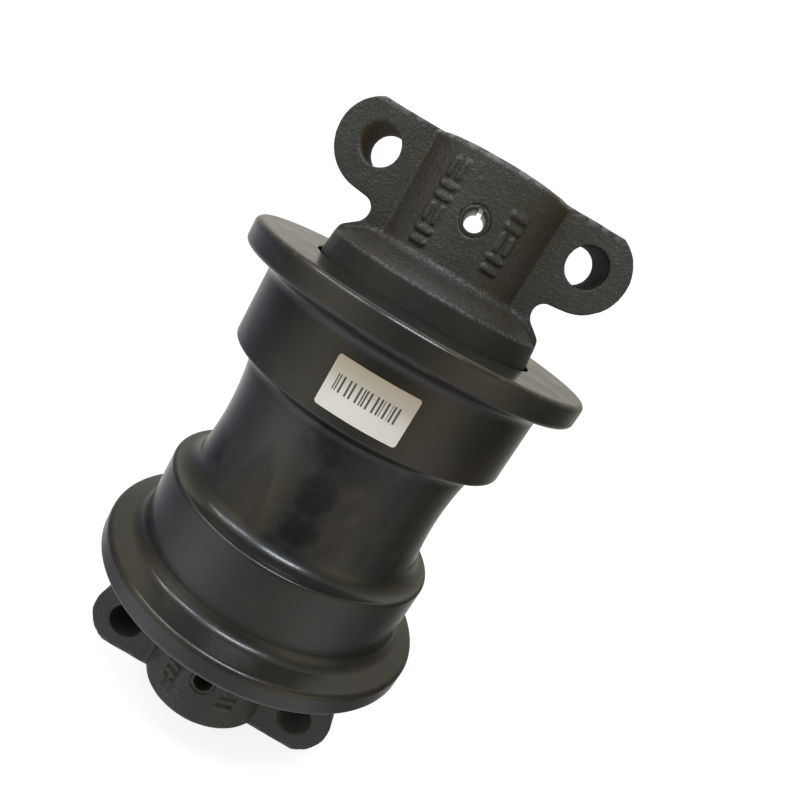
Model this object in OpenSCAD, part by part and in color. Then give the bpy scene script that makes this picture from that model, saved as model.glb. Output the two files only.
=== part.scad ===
// Track roller for a crawler undercarriage, standing on its end.
// Z is the roller's axis and z = 0 is its middle plane.
// The ears' mounting faces look along +Y, the bulging hub sides along -Y.

/* [View] */
// Sub-part to show

/* [Roller shell] */
// Radius of the two guide flanges
flange_radius = 75; // [60:0.5:100]
// Half the width over the flanges
flange_face_z = 74.2; // [60:0.1:100]
// Width of a flange at its rim
rim_width = 10.5; // [6:0.1:20]
// Edge rounding of a flange's rim
rim_round = 2.4; // [0.5:0.1:4]
// How far a flange's inner face leans towards the tread
flange_lean = 1.6; // [0:0.1:4]
// Fillet between a flange and its tread
flange_fillet = 5.6; // [2:0.1:9]
// Radius of the treads
tread_radius = 62.3; // [50:0.1:90]
// Height of a tread's inner shoulder above the middle plane
shoulder_z = 29; // [15:0.5:45]
// Edge rounding of a tread's inner shoulder
shoulder_round = 1.5; // [0.5:0.1:3]
// Radius of the waist where it meets the shoulders' fillets
waist_radius = 53.1; // [40:0.1:58]
// How much slimmer the waist is at the middle plane
waist_dip = 1.7; // [0.5:0.1:4]
// Radius of the recess that takes a collar's skirt
recess_radius = 49; // [44:0.1:56]
// Height of that recess's floor
recess_floor_z = 65.5; // [60:0.1:72]
// Radius of the bore that holds the bushes
shell_bore_radius = 22; // [16:0.1:30]
// Radius of the oil room between the bushes
oil_room_radius = 24.5; // [18:0.1:34]
// Half the length of the oil room
oil_room_z = 22.5; // [10:0.5:40]

/* [Shaft and bushes] */
// Radius of the shaft
shaft_radius = 19; // [14:0.1:26]
// Half the length of the shaft
shaft_end_z = 132.9; // [126:0.1:150]
// Chamfer on the shaft's ends
shaft_chamfer = 1.5; // [0.5:0.1:3]
// Running clearance between bush and shaft, on the radius
running_gap = 0.06; // [0.01:0.01:0.1]
// Radius of a bush's thrust flange
bush_flange_radius = 30; // [25:0.1:32]
// Thickness of that flange
bush_flange_width = 3; // [2:0.1:5]
// Height of the shell face the flange rests on
bush_seat_z = 60; // [50:0.1:66]
// Offset of the oil drilling from the shaft's axis
oil_offset = 11.5; // [9:0.1:14]
// Radius of the oil drilling
oil_radius = 2.2; // [1:0.1:3]

/* [Collars] */
// Height of a collar's outer end face
collar_end_z = 134.1; // [128:0.1:150]
// Radius of the hub's bulging side
hub_radius = 31.1; // [28:0.1:34]
// Depth of the ears' front faces below the axis
ear_front_y = 13.3; // [5:0.1:25]
// Height of the mounting faces above the axis
mount_face_y = 24; // [20:0.1:40]
// Radius of an ear's round end
ear_radius = 17.5; // [12:0.1:24]
// Sideways place of an ear's round end
ear_x = 44.8; // [36:0.1:60]
// Height of an ear's round end
ear_z = 117.8; // [100:0.1:140]
// Half the width of the neck under the ears
neck_half_width = 36.6; // [32:0.1:44]
// Slope of an ear's underside in degrees, falling towards the neck
ear_slope = 7; // [0:0.5:12]
// Fillet between neck and ear
neck_fillet = 4.5; // [2:0.1:6]
// Fillet at the neck's foot
foot_fillet = 6; // [3:0.1:8]
// Slope of the neck's foot below that fillet in degrees
foot_slope = 37; // [30:1:50]
// Radius of the skirt that enters the roller
skirt_radius = 47.7; // [42:0.1:54]
// Height of the skirt's open end
skirt_end_z = 67; // [64:0.1:74]
// Radius of the skirt's upper edge, below which its wall leans
skirt_edge_radius = 46.6; // [44:0.1:47.7]
// Height of that edge
skirt_edge_z = 83.2; // [78:0.1:88]
// Radius of the dome above the skirt's edge
dome_radius = 20; // [18:0.5:26]
// Slope in degrees of the cone between dome and hub
cone_slope = 14; // [10:1:20]
// Radius where that cone meets the dome
cone_radius = 36; // [35:0.1:39]
// Fillet between dome and hub
hub_fillet = 3; // [2:0.1:5]
// Radius of the nose that meets the bush
nose_radius = 29.5; // [24:0.1:31]
// Height of the nose's end
nose_end_z = 63.3; // [60:0.1:68]
// Height of the raised foundry marks above the hub
mark_height = 1.1; // [0.3:0.1:2]

/* [Bolt holes and lock pins] */
// Radius of the four bolt holes
bolt_hole_radius = 8; // [5:0.1:12]
// Spacing of the bolt holes across a collar
bolt_spacing_x = 90; // [70:0.5:120]
// Spacing of the bolt holes along the roller
bolt_spacing_z = 237; // [180:0.5:300]
// Outer radius of a lock pin
pin_radius = 5.5; // [4:0.1:9]
// Inner radius of a lock pin
pin_inner_radius = 4.2; // [2:0.1:7]
// Width of a lock pin's slot
pin_slot = 2; // [1:0.1:4]
// Height of a lock pin above the middle plane
pin_z = 111.6; // [100:0.1:125]
// Length of a lock pin
pin_length = 51.5; // [40:0.5:52]

/* [Seals] */
// Height of the plane where two seal rings face each other
seal_plane_z = 66.25; // [64:0.05:70]
// Gap between the two seal rings
seal_gap = 0.3; // [0.3:0.1:0.6]
// Inner radius of a seal ring
seal_inner_radius = 33; // [31:0.1:36]
// Radius of a seal ring's face
seal_face_radius = 39; // [36:0.1:41]
// Radius of a seal ring's sleeve
seal_sleeve_radius = 35.5; // [34:0.1:38]
// Thickness of a seal ring's face
seal_face_width = 3.5; // [2:0.1:5]
// Length of a seal ring
seal_length = 11; // [8:0.1:14]
// Radius of the cavity that holds a toric ring
seal_room_radius = 41.5; // [39:0.1:44]
// Depth of that cavity from the seal plane
seal_room_depth = 12.25; // [11:0.05:16]
// Radius of a toric ring's section
toric_radius = 3.1; // [2:0.05:4]
// Distance of a toric ring from the seal plane
toric_z = 7.05; // [5:0.05:9]
// Radius of a shaft seal's section
oring_radius = 1.6; // [1:0.05:2.5]
// Height of the shaft seals
oring_z = 86; // [80:0.5:100]

/* [Oil plug and label] */
// Radius of the oil plug's stem
plug_radius = 4.5; // [3:0.1:6]
// Length of the oil plug's stem
plug_length = 10; // [6:0.5:14]
// Across-flats size of the plug's socket
plug_socket = 5; // [3:0.5:6]
// Half the width of the paper label
label_half_width = 15.9; // [8:0.1:30]
// Lower edge of the paper label
label_low_z = 33.7; // [31:0.1:45]
// Height of the paper label
label_height = 19.3; // [8:0.1:22]
// Thickness of the paper label
label_thick = 0.3; // [0.2:0.05:0.6]

/* [Hidden] */
$fn = 96;
big = 200;
fit = 0.02;
paint = [0.2, 0.2, 0.19];
steel = [0.6, 0.6, 0.6];
bronze = [0.7, 0.5, 0.25];
black = [0.08, 0.08, 0.08];
collar_bore = shaft_radius + fit;
pin_hole = pin_radius + fit;
shoulder_fillet = tread_radius - shoulder_round - waist_radius;
waist_end_z = shoulder_z - shoulder_fillet;
waist_curve = (waist_end_z * waist_end_z + waist_dip * waist_dip) / (2 * waist_dip);
lean_end = tread_radius + flange_fillet;
rim_low_z = flange_face_z - rim_width;
lean_z = rim_low_z - flange_lean;
cavity_floor_low = seal_plane_z - seal_room_depth;
cavity_floor_high = seal_plane_z + seal_room_depth;
boss_radius = seal_inner_radius - 2;
dome_r = cone_radius - dome_radius * sin(cone_slope);
dome_z = skirt_edge_z - sqrt(pow(dome_radius, 2) - pow(skirt_edge_radius - dome_r, 2));
cone_z = dome_z + dome_radius * cos(cone_slope);
fillet_r = hub_radius + hub_fillet;
// Depth by which the hub's fillet dips into the cone, so that the two faces cross at an angle
fillet_dip = 0.12;
dip_chord = sqrt(pow(hub_fillet, 2) - pow(hub_fillet - fillet_dip, 2));
foot_r = fillet_r - (hub_fillet - fillet_dip) * sin(cone_slope) - dip_chord * cos(cone_slope);
foot_z = cone_z + (cone_radius - foot_r) * tan(cone_slope);
fillet_z = foot_z + sqrt(pow(hub_fillet, 2) - pow(fillet_r - foot_r, 2));
neck_low_z = skirt_edge_z + 0.8;
under_r = ear_x + ear_radius * sin(ear_slope);
under_z = ear_z - ear_radius * cos(ear_slope);
notch_x = neck_half_width + neck_fillet;
notch_z = under_z - (under_r - notch_x) * tan(ear_slope) - neck_fillet / cos(ear_slope);
corner_z = under_z - (under_r - neck_half_width) * tan(ear_slope);
groove_radius = shaft_radius + 2 * oring_radius - 0.1;

// The part of a disc between two straight cuts from one point in it to its rim.
module slice(centre, r, from, p, q) {
  intersection() {
    translate(centre) circle(r = r);
    polygon([from, 2 * p - from, 2 * q - from]);
  }
}

// The part of a disc between two of its radii.
module pie(centre, r, p, q) {
  slice(centre, r, centre, p, q);
}

// The sliver that fills an inside corner up to a fillet's arc.
module fillet_fill(centre, r, points) {
  difference() {
    polygon(concat([centre], points));
    translate(centre) circle(r = r);
  }
}

// Half section of the shell above the middle plane, before the waist is cut.
module shell_section() {
  rim_r = flange_radius - rim_round;
  polygon([
    [oil_room_radius, 0], [oil_room_radius, oil_room_z], [shell_bore_radius, oil_room_z + 1],
    [shell_bore_radius, bush_seat_z - 1], [shell_bore_radius + 1, bush_seat_z],
    [boss_radius, bush_seat_z], [boss_radius, cavity_floor_low],
    [seal_room_radius, cavity_floor_low], [seal_room_radius, recess_floor_z],
    [recess_radius, recess_floor_z], [recess_radius, flange_face_z - 0.8],
    [recess_radius + 0.8, flange_face_z], [rim_r, flange_face_z],
    [flange_radius, flange_face_z - rim_round], [flange_radius, rim_low_z + rim_round],
    [rim_r, rim_low_z], [lean_end, lean_z], [tread_radius, lean_z - flange_fillet],
    [tread_radius, shoulder_z + shoulder_round], [tread_radius - shoulder_round, shoulder_z],
    [waist_radius, waist_end_z], [waist_radius, 0]
  ]);
  pie([rim_r, flange_face_z - rim_round], rim_round,
    [rim_r, flange_face_z], [flange_radius, flange_face_z - rim_round]);
  pie([rim_r, rim_low_z + rim_round], rim_round,
    [flange_radius, rim_low_z + rim_round], [rim_r, rim_low_z]);
  pie([tread_radius - shoulder_round, shoulder_z + shoulder_round], shoulder_round,
    [tread_radius, shoulder_z + shoulder_round], [tread_radius - shoulder_round, shoulder_z]);
  fillet_fill([lean_end, lean_z - flange_fillet], flange_fillet,
    [[lean_end, lean_z], [tread_radius, lean_z], [tread_radius, lean_z - flange_fillet]]);
  fillet_fill([tread_radius - shoulder_round, waist_end_z], shoulder_fillet,
    [[tread_radius - shoulder_round, shoulder_z], [waist_radius, shoulder_z],
      [waist_radius, waist_end_z]]);
}

module roller_shell() {
  color(paint)
  difference() {
    for (side = [0, 1])
      mirror([0, 0, side]) rotate_extrude() shell_section();
    rotate_extrude() intersection() {
      translate([waist_radius - waist_dip + waist_curve, 0]) circle(r = waist_curve, $fn = 360);
      polygon([[45, -waist_end_z], [60, -waist_end_z], [60, waist_end_z], [45, waist_end_z]]);
    }
  }
}

module bush() {
  inner = shaft_radius + running_gap;
  outer = shell_bore_radius + fit;
  rotate_extrude() polygon([
    [inner + 0.5, oil_room_z + 1], [outer - 0.5, oil_room_z + 1], [outer, oil_room_z + 2],
    [outer, bush_seat_z], [bush_flange_radius, bush_seat_z],
    [bush_flange_radius, bush_seat_z + bush_flange_width - 0.5],
    [bush_flange_radius - 0.5, bush_seat_z + bush_flange_width],
    [inner + 0.5, bush_seat_z + bush_flange_width],
    [inner, bush_seat_z + bush_flange_width - 0.5], [inner, oil_room_z + 1.5]
  ]);
}

module bush_upper() {
  color(bronze) bush();
}

module bush_lower() {
  color(bronze) mirror([0, 0, 1]) bush();
}

module shaft() {
  plug_seat = shaft_end_z - plug_length - 1;
  color(steel)
  difference() {
    rotate_extrude() polygon([
      [0, -shaft_end_z], [shaft_radius - shaft_chamfer, -shaft_end_z],
      [shaft_radius, -shaft_end_z + shaft_chamfer], [shaft_radius, shaft_end_z - shaft_chamfer],
      [shaft_radius - shaft_chamfer, shaft_end_z], [0, shaft_end_z]
    ]);
    for (side = [-1, 1])
      translate([0, 0, side * pin_z]) rotate([90, 0, 0])
        cylinder(r = pin_hole, h = big, center = true);
    translate([oil_offset, 0, -3]) cylinder(r = oil_radius, h = big);
    translate([oil_offset, 0, plug_seat]) cylinder(r = plug_radius + fit, h = big);
    translate([oil_offset, 0, 0]) rotate([0, 90, 0]) cylinder(r = oil_radius, h = big);
    translate([0, 0, shaft_end_z - 4]) cylinder(r1 = 0.5, r2 = 3.2, h = 4.01);
    translate([0, 0, -shaft_end_z - 0.01]) cylinder(r1 = 3.2, r2 = 0.5, h = 4.01);
  }
}

// Outline of both ears and the neck, seen along the Y axis.
module ear_outline() {
  intersection() {
    union() {
      for (side = [0, 1]) mirror([side, 0]) {
        translate([ear_x, ear_z]) circle(r = ear_radius);
        polygon([
          [-1, neck_low_z], [neck_half_width, neck_low_z], [neck_half_width, corner_z],
          [under_r, under_z], [ear_x, ear_z], [ear_x, collar_end_z], [-1, collar_end_z]
        ]);
        fillet_fill([notch_x, notch_z], neck_fillet, [
          [notch_x - neck_fillet * sin(ear_slope), notch_z + neck_fillet * cos(ear_slope)],
          [neck_half_width, corner_z], [neck_half_width, notch_z]
        ]);
      }
    }
    translate([-100, 0]) square([200, collar_end_z]);
  }
}

// Outline of the foot that spreads the neck over the skirt's dome.
module foot_outline() {
  centre_x = neck_half_width + foot_fillet;
  end_x = centre_x - foot_fillet * sin(foot_slope);
  end_z = notch_z - foot_fillet * cos(foot_slope);
  reach = 12;
  fillet_fill([centre_x, notch_z], foot_fillet, [
    [neck_half_width, notch_z], [neck_half_width - 1, notch_z], [neck_half_width - 1, neck_low_z],
    [end_x + reach, neck_low_z - 2], [end_x + reach, end_z - reach * tan(foot_slope)],
    [end_x, end_z]
  ]);
}

// Both feet, kept inside a cone that rises from the skirt's edge.
module neck_feet() {
  intersection() {
    for (side = [0, 1]) mirror([side, 0, 0])
      translate([0, mount_face_y, 0]) rotate([90, 0, 0])
        linear_extrude(height = mount_face_y + ear_front_y) foot_outline();
    rotate_extrude() polygon([
      [0, skirt_edge_z - 3], [skirt_edge_radius, skirt_edge_z - 3],
      [skirt_edge_radius, skirt_edge_z], [skirt_edge_radius - 3.6, notch_z + 1], [0, notch_z + 1]
    ]);
  }
}

// Solid of revolution of a collar: nose, skirt, dome and hub.
module collar_turned() {
  rotate_extrude() {
    polygon([
      [collar_bore, nose_end_z], [nose_radius, nose_end_z], [nose_radius, cavity_floor_high],
      [seal_room_radius, cavity_floor_high], [seal_room_radius, skirt_end_z],
      [skirt_radius - 0.8, skirt_end_z], [skirt_radius, skirt_end_z + 0.8],
      [skirt_radius, flange_face_z], [skirt_edge_radius, skirt_edge_z], [cone_radius, cone_z],
      [foot_r, foot_z], [hub_radius, foot_z], [hub_radius, collar_end_z - 1.5],
      [hub_radius - 1.5, collar_end_z], [collar_bore + 1, collar_end_z],
      [collar_bore, collar_end_z - 1]
    ]);
    slice([dome_r, dome_z], dome_radius, [cone_radius, cavity_floor_high + 3],
      [skirt_edge_radius, skirt_edge_z], [cone_radius, cone_z]);
    fillet_fill([fillet_r, fillet_z], hub_fillet,
      [[foot_r, foot_z], [hub_radius, foot_z], [hub_radius, fillet_z]]);
  }
}

// A pair of round-ended bars side by side, standing up from the XY plane.
module bar_pair(height) {
  half_length = 2.7;
  for (side = [-1, 1]) translate([side * 2.1, 0, 0]) {
    for (end = [-1, 1]) translate([0, end * half_length, 0]) cylinder(r = 1.1, h = height);
    translate([-1.1, -half_length, 0]) cube([2.2, 2 * half_length, height]);
  }
}

// Plain raised foundry marks on the hub: two columns of bar pairs that turn by turns.
module marks() {
  reach = hub_radius + mark_height;
  for (i = [0 : 3])
    rotate([0, 0, -27.5]) translate([0, 0, 124 - 8.6 * i]) rotate([90, 0, 0])
      rotate([0, 0, 90 * (i % 2)]) bar_pair(reach);
  for (i = [0 : 2])
    rotate([0, 0, 25.5]) translate([0, 0, 118 - 8.2 * i]) rotate([90, 0, 0])
      rotate([0, 0, 90 * ((i + 1) % 2)]) bar_pair(reach);
}

module collar() {
  difference() {
    union() {
      difference() {
        collar_turned();
        translate([-big, mount_face_y, fillet_z]) cube([2 * big, big, big]);
      }
      difference() {
        translate([0, mount_face_y, 0]) rotate([90, 0, 0])
          linear_extrude(height = mount_face_y + ear_front_y) ear_outline();
        cylinder(r = collar_bore + 4, h = big);
      }
      neck_feet();
      marks();
    }
    translate([0, 0, nose_end_z]) cylinder(r = collar_bore, h = big);
    translate([0, 0, pin_z]) rotate([90, 0, 0]) cylinder(r = pin_hole, h = big, center = true);
    for (side = [-1, 1])
      translate([side * bolt_spacing_x / 2, 0, bolt_spacing_z / 2]) rotate([90, 0, 0])
        cylinder(r = bolt_hole_radius, h = big, center = true);
    translate([0, 0, oring_z - oring_radius - 0.6])
      cylinder(r = groove_radius, h = 2 * oring_radius + 1.2);
  }
}

module collar_upper() {
  color(paint) collar();
}

module collar_lower() {
  color(paint) mirror([0, 0, 1]) collar();
}

// Slotted spring pin, its slot looking towards the collar's end face.
module lock_pin() {
  translate([0, mount_face_y - 2.2, pin_z]) rotate([90, 0, 0]) difference() {
    rotate_extrude() polygon([
      [pin_inner_radius, 0], [pin_radius - 0.4, 0], [pin_radius, 0.8],
      [pin_radius, pin_length - 0.8], [pin_radius - 0.4, pin_length],
      [pin_inner_radius, pin_length]
    ]);
    translate([-pin_slot / 2, 0, -1]) cube([pin_slot, 2 * pin_radius, pin_length + 2]);
  }
}

module lock_pin_upper() {
  color(steel) lock_pin();
}

module lock_pin_lower() {
  color(steel) mirror([0, 0, 1]) lock_pin();
}

// Metal face seal ring above the seal plane.
module seal_ring() {
  face_z = seal_plane_z + seal_gap / 2;
  rotate_extrude() polygon([
    [seal_inner_radius, face_z], [seal_face_radius - 0.4, face_z],
    [seal_face_radius, face_z + 0.4], [seal_face_radius, face_z + seal_face_width - 0.4],
    [seal_face_radius - 0.4, face_z + seal_face_width],
    [seal_sleeve_radius + 0.8, face_z + seal_face_width],
    [seal_sleeve_radius, face_z + seal_face_width + 0.8],
    [seal_sleeve_radius, face_z + seal_length - 0.4],
    [seal_sleeve_radius - 0.4, face_z + seal_length], [seal_inner_radius, face_z + seal_length]
  ]);
}

// The same ring turned over, below the seal plane.
module seal_ring_under() {
  translate([0, 0, 2 * seal_plane_z]) mirror([0, 0, 1]) seal_ring();
}

module toric_ring(height) {
  translate([0, 0, height]) rotate_extrude()
    translate([(seal_sleeve_radius + seal_room_radius) / 2, 0]) circle(r = toric_radius);
}

module turning_seal_upper() {
  color(steel) seal_ring_under();
}

module turning_seal_lower() {
  color(steel) mirror([0, 0, 1]) seal_ring_under();
}

module turning_toric_upper() {
  color(black) toric_ring(seal_plane_z - toric_z);
}

module turning_toric_lower() {
  color(black) toric_ring(-seal_plane_z + toric_z);
}

module fixed_seal_upper() {
  color(steel) seal_ring();
}

module fixed_seal_lower() {
  color(steel) mirror([0, 0, 1]) seal_ring();
}

module fixed_toric_upper() {
  color(black) toric_ring(seal_plane_z + toric_z);
}

module fixed_toric_lower() {
  color(black) toric_ring(-seal_plane_z - toric_z);
}

// Rubber ring in a collar's groove, squeezed onto the shaft.
module shaft_oring(height) {
  translate([0, 0, height]) rotate_extrude()
    translate([(shaft_radius + groove_radius) / 2, 0]) circle(r = oring_radius);
}

module shaft_oring_upper() {
  color(black) shaft_oring(oring_z);
}

module shaft_oring_lower() {
  color(black) shaft_oring(-oring_z);
}

// Socket plug in the shaft's upper end; its head stays below the collar's end face.
module oil_plug() {
  color(steel)
  translate([oil_offset, 0, shaft_end_z - plug_length]) difference() {
    cylinder(r = plug_radius, h = plug_length - 0.8);
    translate([0, 0, plug_length - 5]) cylinder(r = plug_socket / sqrt(3), h = 10, $fn = 6);
  }
}

// Sealing washer under the plug's stem.
module plug_washer() {
  color(bronze)
  translate([oil_offset, 0, shaft_end_z - plug_length - 0.95]) difference() {
    cylinder(r = plug_radius - 0.2, h = 0.9);
    translate([0, 0, -1]) cylinder(r = oil_radius + 0.3, h = 3);
  }
}

module label() {
  corner = 1.2;
  color([0.9, 0.88, 0.84])
  intersection() {
    difference() {
      translate([0, 0, label_low_z - 1])
        cylinder(r = tread_radius + label_thick, h = label_height + 2);
      translate([0, 0, label_low_z - 2]) cylinder(r = tread_radius + 0.01, h = label_height + 4);
    }
    translate([0, -40, label_low_z]) rotate([90, 0, 0]) linear_extrude(height = 60) {
      translate([-label_half_width, corner])
        square([2 * label_half_width, label_height - 2 * corner]);
      translate([corner - label_half_width, 0])
        square([2 * (label_half_width - corner), label_height]);
      for (side = [-1, 1])
        for (h = [corner, label_height - corner])
          translate([side * (label_half_width - corner), h]) circle(r = corner);
    }
  }
}

roller_shell();
bush_upper();
bush_lower();
shaft();
collar_upper();
collar_lower();
lock_pin_upper();
lock_pin_lower();
turning_seal_upper();
turning_seal_lower();
turning_toric_upper();
turning_toric_lower();
fixed_seal_upper();
fixed_seal_lower();
fixed_toric_upper();
fixed_toric_lower();
shaft_oring_upper();
shaft_oring_lower();
oil_plug();
plug_washer();
label();
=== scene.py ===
"""Looks of a track roller: painted shell, sand-cast collars, spring pins and a paper label."""

import math

import bpy
from mathutils import Matrix, Vector


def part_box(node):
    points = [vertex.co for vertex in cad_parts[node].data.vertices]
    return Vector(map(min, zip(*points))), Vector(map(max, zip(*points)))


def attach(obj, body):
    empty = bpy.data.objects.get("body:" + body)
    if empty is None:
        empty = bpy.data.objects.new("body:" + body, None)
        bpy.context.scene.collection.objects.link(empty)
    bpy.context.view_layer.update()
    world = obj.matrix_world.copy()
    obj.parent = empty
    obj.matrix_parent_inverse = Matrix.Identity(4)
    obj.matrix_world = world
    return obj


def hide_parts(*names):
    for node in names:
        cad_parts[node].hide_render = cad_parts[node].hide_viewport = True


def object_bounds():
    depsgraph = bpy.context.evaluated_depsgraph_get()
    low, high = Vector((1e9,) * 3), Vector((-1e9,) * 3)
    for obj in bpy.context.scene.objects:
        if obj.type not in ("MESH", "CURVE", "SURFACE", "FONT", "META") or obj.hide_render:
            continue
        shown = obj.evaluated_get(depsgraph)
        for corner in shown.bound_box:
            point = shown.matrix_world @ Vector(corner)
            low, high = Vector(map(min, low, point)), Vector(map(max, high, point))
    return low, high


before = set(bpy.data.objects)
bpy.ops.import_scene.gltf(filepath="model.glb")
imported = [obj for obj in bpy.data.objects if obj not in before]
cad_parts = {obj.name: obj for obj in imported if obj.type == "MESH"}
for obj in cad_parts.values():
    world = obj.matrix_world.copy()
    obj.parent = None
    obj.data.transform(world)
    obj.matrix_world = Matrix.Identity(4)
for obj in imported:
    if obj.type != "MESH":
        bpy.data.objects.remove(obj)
cad_box = [list(map(float, corner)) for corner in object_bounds()]

MM = 0.001
ENDS = ("upper", "lower")

# ---------------------------------------------------------------- driving sizes, in metres
SHELL_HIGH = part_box("roller_shell")[1]
FLANGE_R = SHELL_HIGH[0]
FACE_Z = SHELL_HIGH[2]
FLOOR_Z = cad_box[0][2]
COLLAR_END_Z = cad_box[1][2]
RIM_W = 10.5 * MM
RIM_ROUND = 2.4 * MM
LEAN = 1.6 * MM
FLANGE_FILLET = 5.6 * MM
TREAD_R = 62.3 * MM
SHOULDER_Z = 29.0 * MM
SHOULDER_ROUND = 1.5 * MM
WAIST_R = 53.1 * MM
WAIST_DIP = 1.7 * MM
RECESS_R = 49.0 * MM
RECESS_Z = 65.5 * MM
SEAL_ROOM_R = 41.5 * MM
SEAL_ROOM_Z = 54.0 * MM
BOSS_R = 31.0 * MM
BUSH_SEAT_Z = 60.0 * MM
BORE_R = 22.0 * MM
OIL_ROOM_R = 24.5 * MM
OIL_ROOM_Z = 22.5 * MM
SKIRT_EDGE_Z = 83.4 * MM
HUB_FOOT_Z = 91.0 * MM
BOLT_X, BOLT_Z, BOLT_R = 45 * MM, 118.5 * MM, 8 * MM
LABEL_LOW, LABEL_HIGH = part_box("label")
PIN_INNER_R, PIN_SLOT = 4.1 * MM, 2.1 * MM
PIN_PROUD = 1.2 * MM
PIN_LAP = 0.2 * MM
PIN_ROUNDING = [(0.0, 0.6), (0.15, 0.32), (0.35, 0.1), (0.7, 0.0)]

# ------------------------------------------------ marks on the waist: azimuth, height in mm, radius in mm
DARK_BLOTS = [(-4, 19, 9), (1, -1, 10), (2, -15, 8), (-58, -12, 9), (150, 6, 12), (-140, -8, 10)]
BROWN_BLOTS = [(-21, -15, 11), (-26, 8, 10), (20, 5, 9), (100, -6, 11), (-170, 12, 12)]
SCUFFS = [(-2, 6, 6), (7, -5, 6), (50, 0, 5), (-23, -2, 4), (130, 5, 8)]


# ---------------------------------------------------------------- camera
def aim_camera():
    """The photograph's close, rolled view; its target is a little above the roller's middle."""
    azimuth, elevation, roll = (math.radians(a) for a in (-0.7, 15.3, 30.8))
    distance = 295 * MM
    target = Vector((5.4, 0, 24.1)) * MM
    back = Vector((math.sin(azimuth) * math.cos(elevation), -math.cos(azimuth) * math.cos(elevation),
                   math.sin(elevation)))
    right = Vector((math.cos(azimuth), math.sin(azimuth), 0))
    up = back.cross(right)
    side = right * math.cos(roll) + up * math.sin(roll)
    top = up * math.cos(roll) - right * math.sin(roll)
    lens = bpy.data.cameras.new("camera")
    lens.sensor_width = 36
    lens.lens = 31.03
    lens.shift_x = 0.0304
    lens.shift_y = 0.0185
    lens.clip_start = 0.01
    lens.clip_end = 50
    camera = bpy.data.objects.new("camera", lens)
    camera.matrix_world = (Matrix.Translation(target + back * distance)
                           @ Matrix((side, top, back)).transposed().to_4x4())
    bpy.context.collection.objects.link(camera)
    bpy.context.scene.camera = camera


# ---------------------------------------------------------------- geometry helpers
def direction(azimuth, elevation):
    """Unit vector; azimuth 0 is the camera's side (-Y), 90 is +X."""
    a, e = math.radians(azimuth), math.radians(elevation)
    return Vector((math.sin(a) * math.cos(e), -math.cos(a) * math.cos(e), math.sin(e)))


def new_mesh_object(name, verts, faces, smooth_angle=35):
    """Object from points and faces, smooth except over edges sharper than smooth_angle."""
    mesh = bpy.data.meshes.new(name)
    mesh.from_pydata(verts, [], faces)
    mesh.validate()
    mesh.polygons.foreach_set("use_smooth", [True] * len(mesh.polygons))
    mesh.set_sharp_from_angle(angle=math.radians(smooth_angle))
    obj = bpy.data.objects.new(name, mesh)
    bpy.context.collection.objects.link(obj)
    return obj


def arc(centre, radius, start, end, steps=8):
    """Points on an arc in the (radius, height) plane; angles in degrees, 0 pointing outwards."""
    points = []
    for i in range(steps + 1):
        a = math.radians(start + (end - start) * i / steps)
        points.append((centre[0] + radius * math.cos(a), centre[1] + radius * math.sin(a)))
    return points


def refined(profile, longest=2.5 * MM):
    """The closed profile with its long straight runs divided, so that shading stays even on them."""
    points = []
    for i, (r0, z0) in enumerate(profile):
        r1, z1 = profile[(i + 1) % len(profile)]
        length = math.hypot(r1 - r0, z1 - z0)
        stops = [0.0]
        if length > longest:
            near = 0.25 * MM / length
            count = int(length / longest)
            stops += [near] + [k / (count + 1) for k in range(1, count + 1)] + [1 - near]
        points += [(r0 + (r1 - r0) * t, z0 + (z1 - z0) * t) for t in stops]
    return points


def lathe(name, profile, segments=256, smooth_angle=35):
    """Closed body of revolution about Z from a closed (radius, height) profile that runs anticlockwise."""
    verts, faces = [], []
    count = len(profile)
    for s in range(segments):
        a = 2 * math.pi * s / segments
        verts += [(r * math.cos(a), r * math.sin(a), z) for r, z in profile]
    for s in range(segments):
        here, there = s * count, (s + 1) % segments * count
        for i in range(count):
            j = (i + 1) % count
            faces.append((here + i, there + i, there + j, here + j))
    return new_mesh_object(name, verts, faces, smooth_angle)


# ---------------------------------------------------------------- pieces
def shell_half():
    """Upper half of the shell's section, from the middle plane outwards and back down the bore."""
    shoulder_fillet = TREAD_R - SHOULDER_ROUND - WAIST_R
    waist_end = SHOULDER_Z - shoulder_fillet
    rim_low = FACE_Z - RIM_W
    lean_z = rim_low - LEAN
    lean_r = TREAD_R + FLANGE_FILLET
    lean_angle = math.degrees(math.atan2(LEAN, FLANGE_R - RIM_ROUND - lean_r))
    points = []
    for i in range(12):
        z = waist_end * i / 12
        points.append((WAIST_R - WAIST_DIP * (1 - (z / waist_end) ** 2), z))
    points += arc((TREAD_R - SHOULDER_ROUND, waist_end), shoulder_fillet, 180, 90, 14)
    points += arc((TREAD_R - SHOULDER_ROUND, SHOULDER_Z + SHOULDER_ROUND), SHOULDER_ROUND, -90, 0, 8)
    points += arc((lean_r, lean_z - FLANGE_FILLET), FLANGE_FILLET, 180, 90 + lean_angle, 12)
    points += arc((FLANGE_R - RIM_ROUND, rim_low + RIM_ROUND), RIM_ROUND, -90 + lean_angle, 0, 8)
    points += arc((FLANGE_R - RIM_ROUND, FACE_Z - RIM_ROUND), RIM_ROUND, 0, 90, 8)
    points += arc((RECESS_R + 0.8 * MM, FACE_Z - 0.8 * MM), 0.8 * MM, 90, 180, 4)
    points += [(RECESS_R, RECESS_Z), (SEAL_ROOM_R, RECESS_Z), (SEAL_ROOM_R, SEAL_ROOM_Z)]
    points += [(BOSS_R, SEAL_ROOM_Z), (BOSS_R, BUSH_SEAT_Z), (BORE_R, BUSH_SEAT_Z)]
    points += [(BORE_R, OIL_ROOM_Z + 1 * MM), (OIL_ROOM_R, OIL_ROOM_Z)]
    return points


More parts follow.
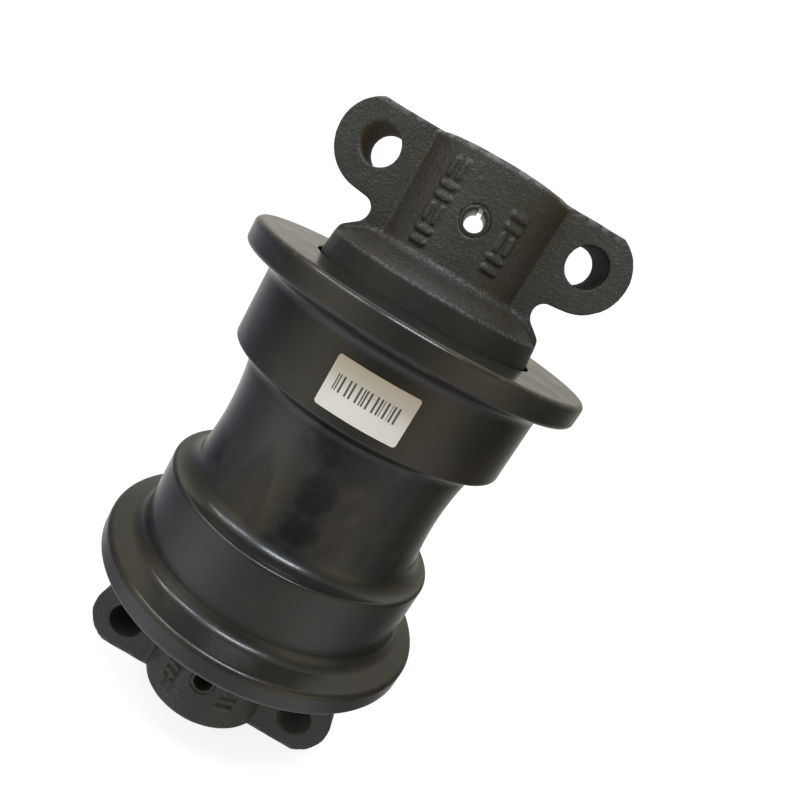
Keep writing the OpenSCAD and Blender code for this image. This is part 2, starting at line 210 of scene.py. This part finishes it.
def roller_shell():
    half = shell_half()
    mirrored = [(r, -z) for r, z in reversed(half[1:])]
    shell = lathe("shell", refined(mirrored + half), segments=320)
    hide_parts("roller_shell")
    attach(shell, "roller")
    return shell


def label():
    """Curved paper label with rounded corners, just proud of the tread."""
    half_w = LABEL_HIGH[0]
    low, high = LABEL_LOW[2], LABEL_HIGH[2]
    corner = 1.2 * MM
    inner, outer = TREAD_R + 0.04 * MM, TREAD_R + 0.26 * MM
    columns, rows = 48, 24

    def edge_inset(h):
        """How far the rounded corners pull in the sides at height h."""
        over = corner - min(h - low, high - h)
        return 0.0 if over <= 0 else corner - math.sqrt(max(corner ** 2 - over ** 2, 0))

    heights = sorted({low + corner * (1 - math.cos(math.pi / 2 * i / 5)) for i in range(6)}
                     | {high - corner * (1 - math.cos(math.pi / 2 * i / 5)) for i in range(6)}
                     | {low + (high - low) * i / rows for i in range(3, rows - 2)})
    verts = []
    for radius in (inner, outer):
        for h in heights:
            reach = math.asin((half_w - edge_inset(h)) / TREAD_R)
            for c in range(columns + 1):
                a = reach * (2 * c / columns - 1)
                verts.append((radius * math.sin(a), -radius * math.cos(a), h))
    wide, tall = columns + 1, len(heights)
    layer = wide * tall
    faces = []
    for k in range(tall - 1):
        for c in range(columns):
            p = k * wide + c
            faces.append((p, p + wide, p + wide + 1, p + 1))
            faces.append((layer + p, layer + p + 1, layer + p + wide + 1, layer + p + wide))
    rim = ([c for c in range(wide)] + [k * wide + columns for k in range(1, tall)]
           + [(tall - 1) * wide + c for c in range(columns - 1, -1, -1)]
           + [k * wide for k in range(tall - 2, 0, -1)])
    for i, p in enumerate(rim):
        q = rim[(i + 1) % len(rim)]
        faces.append((p, q, layer + q, layer + p))
    obj = new_mesh_object("label_sheet", verts, faces)
    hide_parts("label")
    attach(obj, "roller")
    return obj


def lock_pin(end):
    """Slotted spring pin with rounded ends, almost flush with the hub and lapping into the paint round it."""
    low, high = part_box("lock_pin_" + end)
    middle_z = (low[2] + high[2]) / 2
    outer_r = (high[0] - low[0]) / 2 + PIN_LAP
    front, back, steps = low[1] - PIN_PROUD, high[1], 64
    stations = [(front + depth * MM, inset * MM) for depth, inset in PIN_ROUNDING]
    stations += [(back - depth * MM, inset * MM) for depth, inset in reversed(PIN_ROUNDING)]
    verts, faces = [], []
    for y, inset in stations:
        for radius in (outer_r - inset, PIN_INNER_R + inset / 2):
            half_gap = math.asin(PIN_SLOT / 2 / radius)
            for k in range(steps + 1):
                a = math.pi / 2 + half_gap + (2 * math.pi - 2 * half_gap) * k / steps
                verts.append((radius * math.cos(a), y, middle_z + radius * math.sin(a)))
    row = steps + 1
    loop = list(range(row)) + list(range(2 * row - 1, row - 1, -1))
    for s in range(len(stations) - 1):
        here, there = 2 * row * s, 2 * row * (s + 1)
        for i, p in enumerate(loop):
            q = loop[(i + 1) % len(loop)]
            faces.append((here + p, here + q, there + q, there + p))
    last = 2 * row * (len(stations) - 1)
    for k in range(steps):
        faces.append((k, row + k, row + k + 1, k + 1))
        faces.append((last + k, last + k + 1, last + row + k + 1, last + row + k))
    pin = new_mesh_object("spring_pin_" + end, verts, faces)
    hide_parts("lock_pin_" + end)
    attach(pin, "axle")
    return pin


def soften_casting(obj):
    """Rounds a cast CAD node's edges and gives it the gentle waviness of sand moulding."""
    remesh = obj.modifiers.new("casting_skin", "REMESH")
    remesh.mode = "VOXEL"
    remesh.voxel_size = 0.6 * MM
    remesh.use_smooth_shade = True
    smooth = obj.modifiers.new("rounded_edges", "SMOOTH")
    smooth.factor = 0.5
    smooth.iterations = 2
    clouds = bpy.data.textures.get("sand_waves") or bpy.data.textures.new("sand_waves", "CLOUDS")
    clouds.noise_scale = 9 * MM
    clouds.noise_depth = 2
    wave = obj.modifiers.new("sand_waves", "DISPLACE")
    wave.texture = clouds
    wave.texture_coords = "LOCAL"
    wave.mid_level = 0.88
    wave.strength = 0.35 * MM


# ---------------------------------------------------------------- material helpers
class Nodes:
    """Small wrapper that makes node trees short to write."""

    def __init__(self, name):
        self.material = bpy.data.materials.new(name)
        self.material.use_nodes = True
        self.tree = self.material.node_tree
        self.shader = self.tree.nodes["Principled BSDF"]
        self.coords = self.tree.nodes.new("ShaderNodeTexCoord").outputs["Object"]

    def node(self, kind, settings=None, **inputs):
        """New node; settings are its properties, and inputs name its sockets with _ for a space."""
        n = self.tree.nodes.new(kind)
        for key, value in (settings or {}).items():
            setattr(n, key, value)
        for key, value in inputs.items():
            self.put(n.inputs[key.replace("_", " ")], value)
        return n

    def put(self, socket, value):
        """Links a socket, or sets a constant; three numbers are an opaque colour on a colour socket."""
        if isinstance(value, bpy.types.NodeSocket):
            self.tree.links.new(value, socket)
        elif isinstance(value, tuple) and len(value) == 3 and socket.type == "RGBA":
            socket.default_value = (*value, 1)
        else:
            socket.default_value = value

    def math(self, operation, a, b=0.0):
        n = self.node("ShaderNodeMath", {"operation": operation})
        self.put(n.inputs[0], a)
        self.put(n.inputs[1], b)
        return n.outputs[0]

    def product(self, first, *others):
        for other in others:
            first = self.math("MULTIPLY", first, other)
        return first

    def apart(self, a, b):
        """Distance between two values."""
        return self.math("ABSOLUTE", self.math("SUBTRACT", a, b))

    def length(self, a, b):
        return self.math("SQRT", self.math("ADD", self.math("MULTIPLY", a, a), self.math("MULTIPLY", b, b)))

    def noise(self, size, detail=4.0, roughness=0.55, stretch=(1, 1, 1), distortion=0.0):
        """Noise whose features measure about size metres."""
        scale = self.node("ShaderNodeMapping", Vector=self.coords, Scale=stretch)
        return self.node("ShaderNodeTexNoise", Vector=scale.outputs[0], Scale=1 / size, Detail=detail,
                         Roughness=roughness, Distortion=distortion).outputs["Fac"]

    def ramp(self, fac, low, high, start=0.0, end=1.0):
        """Value that goes from start to end as fac goes from low to high."""
        n = self.node("ShaderNodeMapRange", Value=fac)
        for key, value in (("From Min", low), ("From Max", high), ("To Min", start), ("To Max", end)):
            n.inputs[key].default_value = value
        return n.outputs["Result"]

    def mix(self, fac, a, b):
        """Colour that goes from a to b as fac goes from 0 to 1."""
        n = self.node("ShaderNodeMix", {"data_type": "RGBA"})
        self.put(n.inputs["Factor"], fac)
        self.put(n.inputs[6], a)
        self.put(n.inputs[7], b)
        return n.outputs[2]

    def cylinder_coords(self):
        """Radius and height about the roller's axis, for marks left by turning."""
        x, y, z = self.node("ShaderNodeSeparateXYZ", Vector=self.coords).outputs
        return self.length(x, y), z

    def bump(self, height, distance, strength=1.0, normal=None):
        n = self.node("ShaderNodeBump", Height=height, Distance=distance, Strength=strength)
        if normal:
            self.put(n.inputs["Normal"], normal)
        return n.outputs[0]

    def finish(self, **inputs):
        """Sets the shader's sockets and gives back the material."""
        for key, value in inputs.items():
            self.put(self.shader.inputs[key.replace("_", " ")], value)
        return self.material


def spots(n, places):
    """Ragged soft-edged patches on the waist."""
    ragged = n.ramp(n.noise(6 * MM, 3, 0.6), 0.3, 0.7, -3.5 * MM, 3.5 * MM)
    total = None
    for azimuth, height, radius in places:
        centre = direction(azimuth, 0) * WAIST_R
        centre.z = height * MM
        reach = n.node("ShaderNodeVectorMath", {"operation": "DISTANCE"})
        n.put(reach.inputs[0], n.coords)
        reach.inputs[1].default_value = centre
        far = n.math("ADD", reach.outputs["Value"], ragged)
        near = n.ramp(far, 1.2 * radius * MM, 0.5 * radius * MM)
        total = near if total is None else n.math("MAXIMUM", total, near)
    return total


def shell_paint():
    """Satin dark paint over a forged and turned body, with faint stains, turning marks and scuffs."""
    n = Nodes("shell_paint")
    clouds = n.noise(60 * MM, 3, 0.5)
    stains = n.noise(13 * MM, 3, 0.55, distortion=0.4)
    blots = n.noise(19 * MM, 2, 0.5, stretch=(1, 1, 0.6), distortion=0.3)
    speckle = n.noise(1.5 * MM, 1, 0.5)
    radius, height = n.cylinder_coords()
    waist = n.product(n.ramp(height, -27 * MM, -22 * MM), n.ramp(height, 27 * MM, 22 * MM))
    base = n.mix(n.ramp(clouds, 0.4, 0.6), (0.0165, 0.0175, 0.0175), (0.021, 0.0185, 0.0155))
    base = n.mix(n.ramp(stains, 0.48, 0.68, 0, 0.55), base, (0.031, 0.025, 0.018))
    base = n.mix(n.product(spots(n, BROWN_BLOTS), 0.7), base, (0.036, 0.028, 0.019))
    blotted = n.product(waist, n.ramp(blots, 0.5, 0.6, 0, 0.45))
    blotted = n.math("MAXIMUM", blotted, n.product(spots(n, DARK_BLOTS), 0.8))
    base = n.mix(blotted, base, (0.008, 0.007, 0.009))
    sheen = n.math("SUBTRACT", 0.52, n.product(blotted, 0.24))

    rings_per_metre = 900.0
    place = n.node("ShaderNodeCombineXYZ", X=n.product(radius, rings_per_metre),
                   Y=n.product(height, rings_per_metre))
    turned = n.node("ShaderNodeTexNoise", {"noise_dimensions": "2D"}, Vector=place.outputs[0],
                    Scale=1.0, Detail=3.0)

    wander = n.apart(n.noise(7 * MM, 0, 0.5, stretch=(0.6, 0.6, 2.2)), 0.5)
    scuffed = n.product(n.ramp(wander, 0.014, 0.004), spots(n, SCUFFS))
    base = n.mix(n.product(scuffed, 0.22), base, (0.10, 0.095, 0.09))

    outermost = n.ramp(radius, FLANGE_R - 1.2 * MM, FLANGE_R - 0.4 * MM)
    at_face = n.ramp(n.math("ABSOLUTE", height), FACE_Z - 1.6 * MM, FACE_Z - 0.8 * MM)
    rubbed = n.product(outermost, n.ramp(n.noise(5 * MM), 0.5, 0.7), at_face)
    base = n.mix(n.product(rubbed, 0.5), base, (0.12, 0.115, 0.105))

    rough = n.math("ADD", n.ramp(stains, 0.3, 0.8, 0.19, 0.3), n.ramp(speckle, 0.3, 0.7, -0.015, 0.02))
    normal = n.bump(speckle, 0.015 * MM, 0.5)
    normal = n.bump(turned.outputs["Fac"], 0.012 * MM, 0.6, normal)
    return n.finish(Base_Color=base, Roughness=rough, Normal=normal, Specular_IOR_Level=sheen)


def collar_paint():
    """Thin paint over a sand casting, pitted; painted shade makes the hub's sides browner and darker, painted
    highlights (partly wear) light its edges, and painted light and shade make one side's bolt-hole walls
    lighter and the other's darker.
    """
    n = Nodes("collar_paint")
    tone = n.noise(22 * MM, 3, 0.5)
    grain = n.noise(1.1 * MM, 4, 0.6)
    lumps = n.noise(3.2 * MM, 3, 0.5)
    pits = n.node("ShaderNodeTexVoronoi", Vector=n.coords, Scale=1 / (1.5 * MM)).outputs["Distance"]
    x, y, z = n.node("ShaderNodeSeparateXYZ", Vector=n.coords).outputs
    aside, away = n.math("ABSOLUTE", x), n.math("ABSOLUTE", z)
    right_side, lower_end = n.ramp(x, -1 * MM, 1 * MM), n.ramp(z, 1 * MM, -1 * MM)

    # Painted shade: both sides of the hub, where its round face turns away from the light, are painted darker
    # and browner.
    hub_flank_shade = n.product(n.ramp(aside, 9 * MM, 20 * MM), n.ramp(aside, 33 * MM, 30 * MM))
    base = n.mix(n.ramp(tone, 0.35, 0.65), (0.030, 0.034, 0.029), (0.025, 0.027, 0.022))
    base = n.mix(n.product(hub_flank_shade, n.ramp(tone, 0.3, 0.6, 0.5, 1.0)), base, (0.031, 0.025, 0.018))
    sandy = n.ramp(away, SKIRT_EDGE_Z - 0.4 * MM, SKIRT_EDGE_Z + 2.6 * MM)
    base = n.mix(n.product(sandy, n.ramp(grain, 0.52, 0.72, 0, 0.6)), base, (0.085, 0.088, 0.080))
    skirt = n.ramp(away, SKIRT_EDGE_Z + 0.6 * MM, SKIRT_EDGE_Z - 0.4 * MM, 0, 0.8)
    base = n.mix(skirt, base, (0.021, 0.024, 0.021))

    # Lighter patches along the collar's end edge: partly wear, partly painted highlight.
    end_edge = n.ramp(away, COLLAR_END_Z - 2.6 * MM, COLLAR_END_Z - 0.8 * MM)
    end_face = n.ramp(away, COLLAR_END_Z - 0.6 * MM, COLLAR_END_Z - 0.2 * MM, 1.0, 0.25)
    end = n.product(end_edge, n.ramp(lumps, 0.42, 0.6), end_face)
    # Painted highlights: light lines along the skirt's crisp edge and round the hub's foot, broken up by
    # grain.
    lip_highlight = n.ramp(n.apart(away, SKIRT_EDGE_Z), 0.9 * MM, 0.2 * MM, 0, 0.6)
    foot_highlight = n.ramp(n.apart(away, HUB_FOOT_Z), 1.6 * MM, 0.4 * MM, 0, 0.5)
    edges = n.product(n.math("ADD", lip_highlight, foot_highlight), n.ramp(grain, 0.42, 0.6))
    base = n.mix(n.product(n.math("MAXIMUM", end, edges), 0.75), base, (0.17, 0.17, 0.17))

    bolt_reach = n.length(n.math("SUBTRACT", aside, BOLT_X), n.math("SUBTRACT", away, BOLT_Z))
    drilled = n.ramp(bolt_reach, BOLT_R + 0.45 * MM, BOLT_R + 0.15 * MM)
    # Bolt-hole walls: painted light and shade, one side's walls painted lighter and the other's darker,
    # swapped between the two ends; the lighter upper walls' tan is partly rust, partly painted light.
    upper_hole_light_and_shade = n.mix(right_side, (0.15, 0.12, 0.092), (0.006, 0.006, 0.005))
    lower_hole_light_and_shade = n.mix(right_side, (0.035, 0.035, 0.037), (0.12, 0.12, 0.12))
    base = n.mix(drilled, base, n.mix(lower_end, upper_hole_light_and_shade, lower_hole_light_and_shade))

    rough = n.math("ADD", n.ramp(grain, 0.35, 0.65, 0.5, 0.36), n.product(drilled, 0.3))
    sheen = n.math("SUBTRACT", 0.5, n.product(drilled, 0.38))
    sheen = n.math("SUBTRACT", sheen, n.ramp(away, HUB_FOOT_Z + 3 * MM, HUB_FOOT_Z - 1 * MM, 0, 0.25))
    depth = n.ramp(sandy, 0, 1, 0.12, 1.0)
    normal = n.bump(n.product(lumps, depth), 0.25 * MM, 0.6)
    normal = n.bump(n.product(n.ramp(pits, 0.0, 0.5), depth), 0.14 * MM, 0.7, normal)
    normal = n.bump(n.product(grain, depth), 0.4 * MM, 0.9, normal)
    return n.finish(Base_Color=base, Roughness=rough, Normal=normal, Specular_IOR_Level=sheen)


def bare_metal(name, colour, rough):
    """Machined metal with fine grain along the axis."""
    n = Nodes(name)
    grain = n.noise(0.5 * MM, 4, 0.6, stretch=(1, 1, 0.1))
    tone = n.noise(20 * MM, 3, 0.5)
    dark = tuple(c * 0.7 for c in colour)
    base = n.mix(n.ramp(tone, 0.3, 0.7), dark, colour)
    uneven = n.ramp(grain, 0.3, 0.7, rough - 0.06, rough + 0.08)
    return n.finish(Base_Color=base, Metallic=1.0, Roughness=uneven, Normal=n.bump(grain, 0.01 * MM, 0.5))


def blackened_steel():
    """Dark oxide on a spring pin, dusty with paint."""
    n = Nodes("spring_steel")
    grain = n.noise(0.7 * MM, 4, 0.6)
    base = n.mix(n.ramp(grain, 0.3, 0.7), (0.030, 0.032, 0.027), (0.055, 0.055, 0.048))
    return n.finish(Base_Color=base, Metallic=0.25, Roughness=n.ramp(grain, 0.3, 0.7, 0.42, 0.32),
                    Normal=n.bump(grain, 0.1 * MM, 0.5))


def rubber():
    """Matt black rubber, faintly mottled."""
    n = Nodes("seal_rubber")
    speckle = n.noise(0.8 * MM, 4, 0.6)
    base = n.mix(speckle, (0.006, 0.006, 0.006), (0.016, 0.016, 0.016))
    return n.finish(Base_Color=base, Roughness=n.ramp(speckle, 0.3, 0.7, 0.5, 0.7),
                    Normal=n.bump(speckle, 0.03 * MM, 0.4))


def label_paper():
    """Off-white paper with a tanned upper edge and a plain row of printed bars of uneven width."""
    n = Nodes("label_paper")
    fibre = n.noise(0.5 * MM, 4, 0.7)
    tone = n.noise(14 * MM, 2, 0.5)
    x, y, z = n.node("ShaderNodeSeparateXYZ", Vector=n.coords).outputs
    paper = n.mix(n.ramp(tone, 0.35, 0.65), (0.83, 0.80, 0.77), (0.77, 0.73, 0.68))
    top = LABEL_HIGH[2]
    paper = n.mix(n.ramp(z, top - 5 * MM, top, 0, 0.45), paper, (0.70, 0.55, 0.38))
    paper = n.mix(n.ramp(fibre, 0.4, 0.8, 0, 0.15), paper, (0.62, 0.58, 0.52))
    slow_wave, fast_wave = (n.math("SINE", n.product(x, 1 / step)) for step in (0.34 * MM, 0.21 * MM))
    beat = n.math("ADD", slow_wave, fast_wave)
    row_half_width, row_half_height = 12.8 * MM, 3.1 * MM
    row_z = (LABEL_LOW[2] + LABEL_HIGH[2]) / 2 + 0.6 * MM
    across = n.math("LESS_THAN", n.math("ABSOLUTE", x), row_half_width)
    tall = n.math("LESS_THAN", n.apart(z, row_z), row_half_height)
    printed = n.product(n.math("GREATER_THAN", beat, 0.25), across, tall)
    paper = n.mix(n.product(printed, 0.93), paper, (0.035, 0.033, 0.034))
    return n.finish(Base_Color=paper, Roughness=0.55, Normal=n.bump(fibre, 0.01 * MM, 0.4))


# ---------------------------------------------------------------- scene
def dress(node, material):
    """Gives a CAD node its material."""
    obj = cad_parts[node]
    obj.data.materials.clear()
    obj.data.materials.append(material)
    return obj


def dress_frame():
    """Materials on the CAD nodes that stay, softened castings, and new lock pins."""
    casting, spring = collar_paint(), blackened_steel()
    ground = bare_metal("ground_steel", (0.30, 0.29, 0.27), 0.4)
    iron = bare_metal("seal_iron", (0.42, 0.42, 0.43), 0.3)
    bronze = bare_metal("bush_bronze", (0.62, 0.40, 0.17), 0.28)
    plug = bare_metal("plug_steel", (0.55, 0.53, 0.46), 0.3)
    black = rubber()
    for end in ENDS:
        soften_casting(dress("collar_" + end, casting))
        lock_pin(end).data.materials.append(spring)
        dress("bush_" + end, bronze)
        for kind in ("turning", "fixed"):
            dress(f"{kind}_seal_{end}", iron)
            dress(f"{kind}_toric_{end}", black)
        dress("shaft_oring_" + end, black)
    dress("shaft", ground)
    dress("oil_plug", plug)
    dress("plug_washer", bronze)


# Soft glows of the studio's walls: azimuth, elevation, sharpness, colour.
GLOWS = {
    "ceiling": (180, 70, 3.5, (0.95, 0.85, 0.58)),
    "window": (-15, 55, 9, (0.5, 0.6, 0.85)),
    "left_wall": (-55, 22, 11, (1.15, 1.1, 0.75)),
    "right_wall": (55, 10, 12, (0.95, 0.85, 0.55)),
    "back_wall": (-172, -25, 4.2, (0.96, 0.92, 0.84)),
    "far_ceiling": (180, 46, 14, (0.65, 0.75, 0.78)),
    "left_back": (-122, -12, 7, (0.02, 0.06, 0.16)),
    "table": (-10, -66, 4, (0.75, 0.78, 0.85)),
    "low_left": (-60, -40, 11, (0.72, 0.77, 0.88)),
    "low_right": (59, -38, 11, (0.56, 0.57, 0.58)),
    "bench_left": (-38, -10, 14, (0.52, 0.45, 0.24)),
    "bench_right": (36, -12, 14, (0.38, 0.31, 0.17)),
}


def studio_world():
    """White to the camera; to the object, the uneven glow of a small light tent."""
    world = bpy.data.worlds.new("studio")
    bpy.context.scene.world = world
    world.use_nodes = True
    tree = world.node_tree
    tree.nodes.clear()
    add = tree.nodes.new
    ray = add("ShaderNodeTexCoord").outputs["Generated"]
    total = None
    for azimuth, elevation, sharpness, colour in GLOWS.values():
        dot = add("ShaderNodeVectorMath")
        dot.operation = "DOT_PRODUCT"
        tree.links.new(ray, dot.inputs[0])
        dot.inputs[1].default_value = direction(azimuth, elevation)
        power = add("ShaderNodeMath")
        power.operation = "MULTIPLY_ADD"
        tree.links.new(dot.outputs["Value"], power.inputs[0])
        power.inputs[1].default_value = sharpness
        power.inputs[2].default_value = -sharpness
        glow = add("ShaderNodeMath")
        glow.operation = "EXPONENT"
        tree.links.new(power.outputs[0], glow.inputs[0])
        tinted = add("ShaderNodeVectorMath")
        tinted.operation = "SCALE"
        tinted.inputs[0].default_value = colour
        tree.links.new(glow.outputs[0], tinted.inputs["Scale"])
        if total:
            joined = add("ShaderNodeVectorMath")
            tree.links.new(total, joined.inputs[0])
            tree.links.new(tinted.outputs[0], joined.inputs[1])
            tinted = joined
        total = tinted.outputs[0]
    glow, backdrop = add("ShaderNodeBackground"), add("ShaderNodeBackground")
    choice = add("ShaderNodeMixShader")
    tree.links.new(total, glow.inputs["Color"])
    backdrop.inputs["Color"].default_value = (1, 1, 1, 1)
    backdrop.inputs["Strength"].default_value = 1.1
    tree.links.new(add("ShaderNodeLightPath").outputs["Is Camera Ray"], choice.inputs["Fac"])
    tree.links.new(glow.outputs[0], choice.inputs[1])
    tree.links.new(backdrop.outputs[0], choice.inputs[2])
    tree.links.new(choice.outputs[0], add("ShaderNodeOutputWorld").inputs[0])


def soft_panel(name, azimuth, elevation, distance, width, height, radiance, colour=(1, 1, 1)):
    """Rectangular lamp that faces the roller's middle."""
    lamp = bpy.data.lights.new(name, "AREA")
    lamp.shape = "RECTANGLE"
    lamp.size, lamp.size_y = width, height
    lamp.energy = radiance * math.pi * width * height
    lamp.color = colour
    panel = bpy.data.objects.new(name, lamp)
    place = direction(azimuth, elevation) * distance
    panel.matrix_world = Matrix.Translation(place) @ place.to_track_quat("Z", "Y").to_matrix().to_4x4()
    bpy.context.collection.objects.link(panel)


def floor_and_light():
    """A pale, softly lit table that ends in front of the roller, in a light tent with three lamps."""
    front, reach = -0.26, 3.0
    corners = [(-reach, front), (reach, front), (reach, reach), (-reach, reach)]
    floor = new_mesh_object("floor", [(x, y, FLOOR_Z) for x, y in corners], [(0, 1, 2, 3)])
    n = Nodes("floor_paper")
    tint = n.mix(n.noise(300 * MM), (0.34, 0.34, 0.34), (0.30, 0.30, 0.30))
    seen = n.node("ShaderNodeLightPath").outputs["Is Camera Ray"]
    glow = n.ramp(seen, 0, 1, 0.2, 0.85)
    paper = n.finish(Base_Color=tint, Roughness=0.9, Specular_IOR_Level=0.1,
                     Emission_Color=(1, 1, 1), Emission_Strength=glow)
    floor.data.materials.append(paper)
    floor.visible_glossy = False
    studio_world()
    soft_panel("window_left", -50, 50, 0.9, 0.3, 0.1, 15.0, (0.86, 0.91, 1.0))
    soft_panel("window_right", 5, 58, 0.9, 0.4, 0.12, 25.0, (0.85, 0.9, 1.0))
    soft_panel("side_lamp", -80, 50, 0.9, 0.16, 0.16, 9.0, (1.0, 0.98, 0.95))
    bpy.context.scene.view_settings.view_transform = "Standard"


aim_camera()
roller_shell().data.materials.append(shell_paint())
label().data.materials.append(label_paper())
dress_frame()
floor_and_light()
